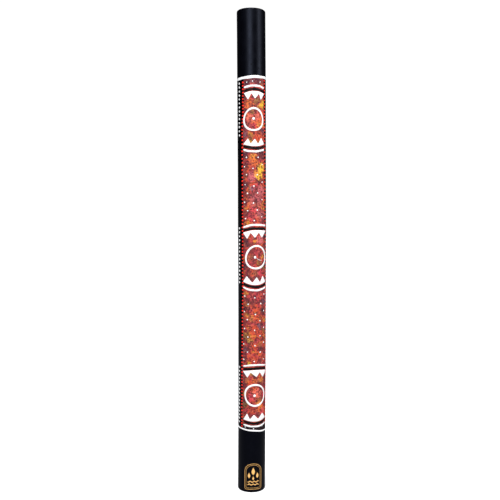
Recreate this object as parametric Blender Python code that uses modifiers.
"""Rainstick: a bamboo tube closed by two glued wooden plugs, with a helix of thin pins driven
through its wall and loose pebbles that trickle down between them.

Metres, +Z up. The stick stands on its foot end, and the middle of its painted front faces -Y.
An angle around the stick is measured from the front, and grows towards +X.
"""

import math
import random

import bmesh
import bpy
from mathutils import Matrix, Vector

# Driving dimensions
LENGTH = 1.0
FOOT_RADIUS = 0.02855  # outer radius at the foot
TAPER = 0.00055  # added to the radius at the top
BORE_RADIUS = 0.024
BOW = 0.00175  # natural bend of the culm towards +X, at mid-length
RIM_ROUND = 0.003  # rounded outer edge at both ends
PLUG_THICKNESS = 0.015
PLUG_CHAMFER = 0.0006
GAP = 0.0003  # between pieces that touch on the real stick

# The helix of pins, of which every third or fourth one is modelled
PIN_TOP = 0.8873  # height of the highest pin
PIN_RISE = 0.00725  # drop from one pin to the next
PIN_STEP = math.radians(30)  # turn from one pin to the next
PIN_FIRST_ANGLE = math.radians(-1)
PIN_NODES = 33
PIN_RADIUS = 0.0010
PIN_TIP_RADIUS = 0.0008
PIN_HEAD_DEPTH = 0.0004  # how far a head lies below the tube's surface
PIN_FAR_GAP = 0.003  # between a pin's tip and the far wall

# The loose fill: a pair of pebbles in each of the lanes between the pins
LANES = 12
PEBBLES_PER_LANE = 2
LANE_RADIUS = 0.020
LANE_SHIFT = 0.00007  # the middle of the bow's sideways travel
PEBBLE_RADIUS = 0.0028
PEBBLE_FLATNESS = (0.80, 0.95)  # a pebble's shorter radii, as shares of the longest

# Facets
TUBE_SEGMENTS = 48
TUBE_LEVELS = 8
RIM_STEPS = 3
PIN_SEGMENTS = 8


def axis_x(z):
    """The culm's centre line: a shallow arch whose sideways travel is centred on the Z axis."""
    share = z / LENGTH
    return BOW * (4.0 * share * (1.0 - share) - 0.5)


def outer_radius(z):
    """The culm's outer radius: most of the taper is near the foot."""
    share = z / LENGTH
    return FOOT_RADIUS + TAPER * (2.0 * share - share * share)


def direction(angle):
    return Vector((math.sin(angle), -math.cos(angle), 0.0))


def remove_everything():
    for obj in list(bpy.data.objects):
        bpy.data.objects.remove(obj, do_unlink=True)


def make_collection(name):
    collection = bpy.data.collections.new(name)
    bpy.context.scene.collection.children.link(collection)
    return collection


def make_material(name, colour, roughness, metallic=0.0):
    material = bpy.data.materials.new(name)
    material.use_nodes = True
    shader = material.node_tree.nodes["Principled BSDF"]
    shader.inputs["Base Color"].default_value = (*colour, 1.0)
    shader.inputs["Roughness"].default_value = roughness
    shader.inputs["Metallic"].default_value = metallic
    material.diffuse_color = (*colour, 1.0)
    return material


def make_object(name, mesh, collection, material=None):
    obj = bpy.data.objects.new(name, mesh)
    collection.objects.link(obj)
    if material:
        mesh.materials.append(material)
    return obj


def mesh_from_bmesh(name, bm):
    mesh = bpy.data.meshes.new(name)
    bm.to_mesh(mesh)
    bm.free()
    return mesh


def shade_round(mesh, angle=math.radians(35)):
    mesh.shade_smooth()
    mesh.set_sharp_from_angle(angle=angle)


def arc(centre_r, centre_z, radius, start, end, steps):
    """Points of an arc in the profile's plane, with its angles counted from +X towards +Z."""
    points = []
    for i in range(steps + 1):
        angle = math.radians(start + (end - start) * i / steps)
        points.append((centre_r + radius * math.cos(angle), centre_z + radius * math.sin(angle)))
    return points


def tube_profile():
    """The wall's section: down the outside, then up the bore."""
    top_edge = LENGTH - RIM_ROUND
    outside = arc(outer_radius(top_edge) - RIM_ROUND, top_edge, RIM_ROUND, 90, 0, RIM_STEPS)
    for i in range(1, TUBE_LEVELS):
        z = top_edge + (RIM_ROUND - top_edge) * i / TUBE_LEVELS
        outside.append((outer_radius(z), z))
    outside += arc(outer_radius(RIM_ROUND) - RIM_ROUND, RIM_ROUND, RIM_ROUND, 0, -90, RIM_STEPS)
    bore = [(BORE_RADIUS, LENGTH * i / TUBE_LEVELS) for i in range(TUBE_LEVELS + 1)]
    return outside + bore


def bow_mesh(mesh):
    """Shift every level of an upright mesh onto the culm's centre line."""
    for vertex in mesh.vertices:
        vertex.co.x += axis_x(vertex.co.z)


def make_tube(collection, cutter, material):
    """The culm: its section turned round the Z axis, bent to the bow, then drilled for the pins."""
    bm = bmesh.new()
    points = [bm.verts.new((r, 0.0, z)) for r, z in tube_profile()]
    for i, point in enumerate(points):
        bm.edges.new((point, points[(i + 1) % len(points)]))
    section = make_object("tube_section", mesh_from_bmesh("tube_section", bm), collection)
    screw = section.modifiers.new("turn", "SCREW")
    screw.steps = TUBE_SEGMENTS
    screw.render_steps = TUBE_SEGMENTS
    screw.use_merge_vertices = True
    screw.merge_threshold = 0.00001
    bpy.context.view_layer.update()
    turned = section.evaluated_get(bpy.context.evaluated_depsgraph_get())
    mesh = bpy.data.meshes.new_from_object(turned)
    mesh.name = "tube"
    bpy.data.objects.remove(section, do_unlink=True)
    bow_mesh(mesh)
    shade_round(mesh)
    tube = make_object("tube", mesh, collection, material)
    drill = tube.modifiers.new("pin_holes", "BOOLEAN")
    drill.operation = "DIFFERENCE"
    drill.solver = "EXACT"
    drill.object = cutter
    return tube


def make_plug(name, bottom_z, collection, material):
    """A turned wooden disc that fills the bore, flush with the tube's end."""
    bm = bmesh.new()
    radius = BORE_RADIUS - GAP
    bmesh.ops.create_cone(
        bm, cap_ends=True, segments=TUBE_SEGMENTS, radius1=radius, radius2=radius, depth=PLUG_THICKNESS
    )
    mesh = mesh_from_bmesh(name, bm)
    shade_round(mesh)
    plug = make_object(name, mesh, collection, material)
    middle = bottom_z + PLUG_THICKNESS / 2.0
    end_z = 0.0 if bottom_z < LENGTH / 2.0 else LENGTH
    plug.location = (axis_x(end_z), 0.0, middle)
    bevel = plug.modifiers.new("chamfer", "BEVEL")
    bevel.width = PLUG_CHAMFER
    bevel.segments = 1
    bevel.limit_method = "ANGLE"
    return plug


def pin_place(number):
    """Height and angle of a modelled pin: every third of the helix, and every fourth once a turn,
    so that all twelve columns of the helix are used."""
    index = 3 * number + number // 4
    return PIN_TOP - index * PIN_RISE, PIN_FIRST_ANGLE + index * PIN_STEP


def radial_matrix(z, angle, distance):
    """A frame whose +Z points outwards along a radius of the culm, at a distance from its axis."""
    outward = direction(angle)
    place = Vector((axis_x(z), 0.0, z)) + outward * distance
    return Matrix.Translation(place) @ outward.to_track_quat("Z", "Y").to_matrix().to_4x4()


def make_pin(name, z, angle, collection, material):
    """A tapered bamboo pin from just under the tube's surface to near the far wall."""
    head = outer_radius(z) - PIN_HEAD_DEPTH
    tip = PIN_FAR_GAP - BORE_RADIUS
    bm = bmesh.new()
    bmesh.ops.create_cone(
        bm,
        cap_ends=True,
        segments=PIN_SEGMENTS,
        radius1=PIN_TIP_RADIUS,
        radius2=PIN_RADIUS,
        depth=head - tip,
    )
    mesh = mesh_from_bmesh(name, bm)
    shade_round(mesh, math.radians(60))
    pin = make_object(name, mesh, collection, material)
    pin.matrix_world = radial_matrix(z, angle, (head + tip) / 2.0)
    return pin


def make_pin_holes(places, collection):
    """One cutter with a drill for each modelled pin, through the near wall only."""
    overshoot = 0.002
    bm = bmesh.new()
    for z, angle in places:
        start = BORE_RADIUS - overshoot
        end = outer_radius(z) + overshoot
        bmesh.ops.create_cone(
            bm,
            cap_ends=True,
            segments=PIN_SEGMENTS,
            radius1=PIN_RADIUS + GAP,
            radius2=PIN_RADIUS + GAP,
            depth=end - start,
            matrix=radial_matrix(z, angle, (start + end) / 2.0),
        )
    cutter = make_object("pin_hole_drills", mesh_from_bmesh("pin_hole_drills", bm), collection)
    cutter.hide_render = True
    cutter.display_type = "WIRE"
    return cutter


def make_pebble(name, centre, collection, material, rng):
    """A water-worn pebble: a small ball, flattened and turned at random."""
    low, high = PEBBLE_FLATNESS
    radii = (PEBBLE_RADIUS, PEBBLE_RADIUS * rng.uniform(low, high), PEBBLE_RADIUS * rng.uniform(low, high))
    spin = Matrix.Rotation(rng.uniform(0.0, math.tau), 4, "Z") @ Matrix.Rotation(rng.uniform(-0.6, 0.6), 4, "Y")
    bm = bmesh.new()
    bmesh.ops.create_icosphere(bm, subdivisions=2, radius=1.0, matrix=spin @ Matrix.Diagonal((*radii, 1.0)))
    mesh = mesh_from_bmesh(name, bm)
    mesh.shade_smooth()
    pebble = make_object(name, mesh, collection, material)
    pebble.location = centre
    return pebble


def make_fill(collection, material):
    """Pebbles at rest on the foot plug, stacked in lanes halfway between the columns of pins."""
    rng = random.Random(12)
    pitch = 2.0 * PEBBLE_RADIUS + GAP
    for lane in range(LANES):
        angle = PIN_FIRST_ANGLE + (lane + 0.5) * math.tau / LANES
        foot = Vector((LANE_SHIFT, 0.0, PLUG_THICKNESS + GAP + PEBBLE_RADIUS)) + direction(angle) * LANE_RADIUS
        for layer in range(PEBBLES_PER_LANE):
            number = lane * PEBBLES_PER_LANE + layer + 1
            centre = foot + Vector((0.0, 0.0, layer * pitch))
            make_pebble(f"pebble_{number:02d}", centre, collection, material, rng)


def main():
    remove_everything()
    parts = make_collection("rainstick")
    cutters = make_collection("cutters")

    lacquer = make_material("black_lacquer", (0.012, 0.012, 0.014), 0.32)
    plug_paint = make_material("plug_black", (0.014, 0.013, 0.013), 0.45)
    bamboo = make_material("bamboo_pin", (0.55, 0.38, 0.18), 0.55)
    stone = make_material("river_pebble", (0.30, 0.26, 0.22), 0.60)

    places = [pin_place(number) for number in range(PIN_NODES)]
    drills = make_pin_holes(places, cutters)
    make_tube(parts, drills, lacquer)
    make_plug("bottom_plug", 0.0, parts, plug_paint)
    make_plug("top_plug", LENGTH - PLUG_THICKNESS, parts, plug_paint)
    for number, (z, angle) in enumerate(places, start=1):
        make_pin(f"pin_{number:02d}", z, angle, parts, bamboo)
    make_fill(parts, stone)


main()
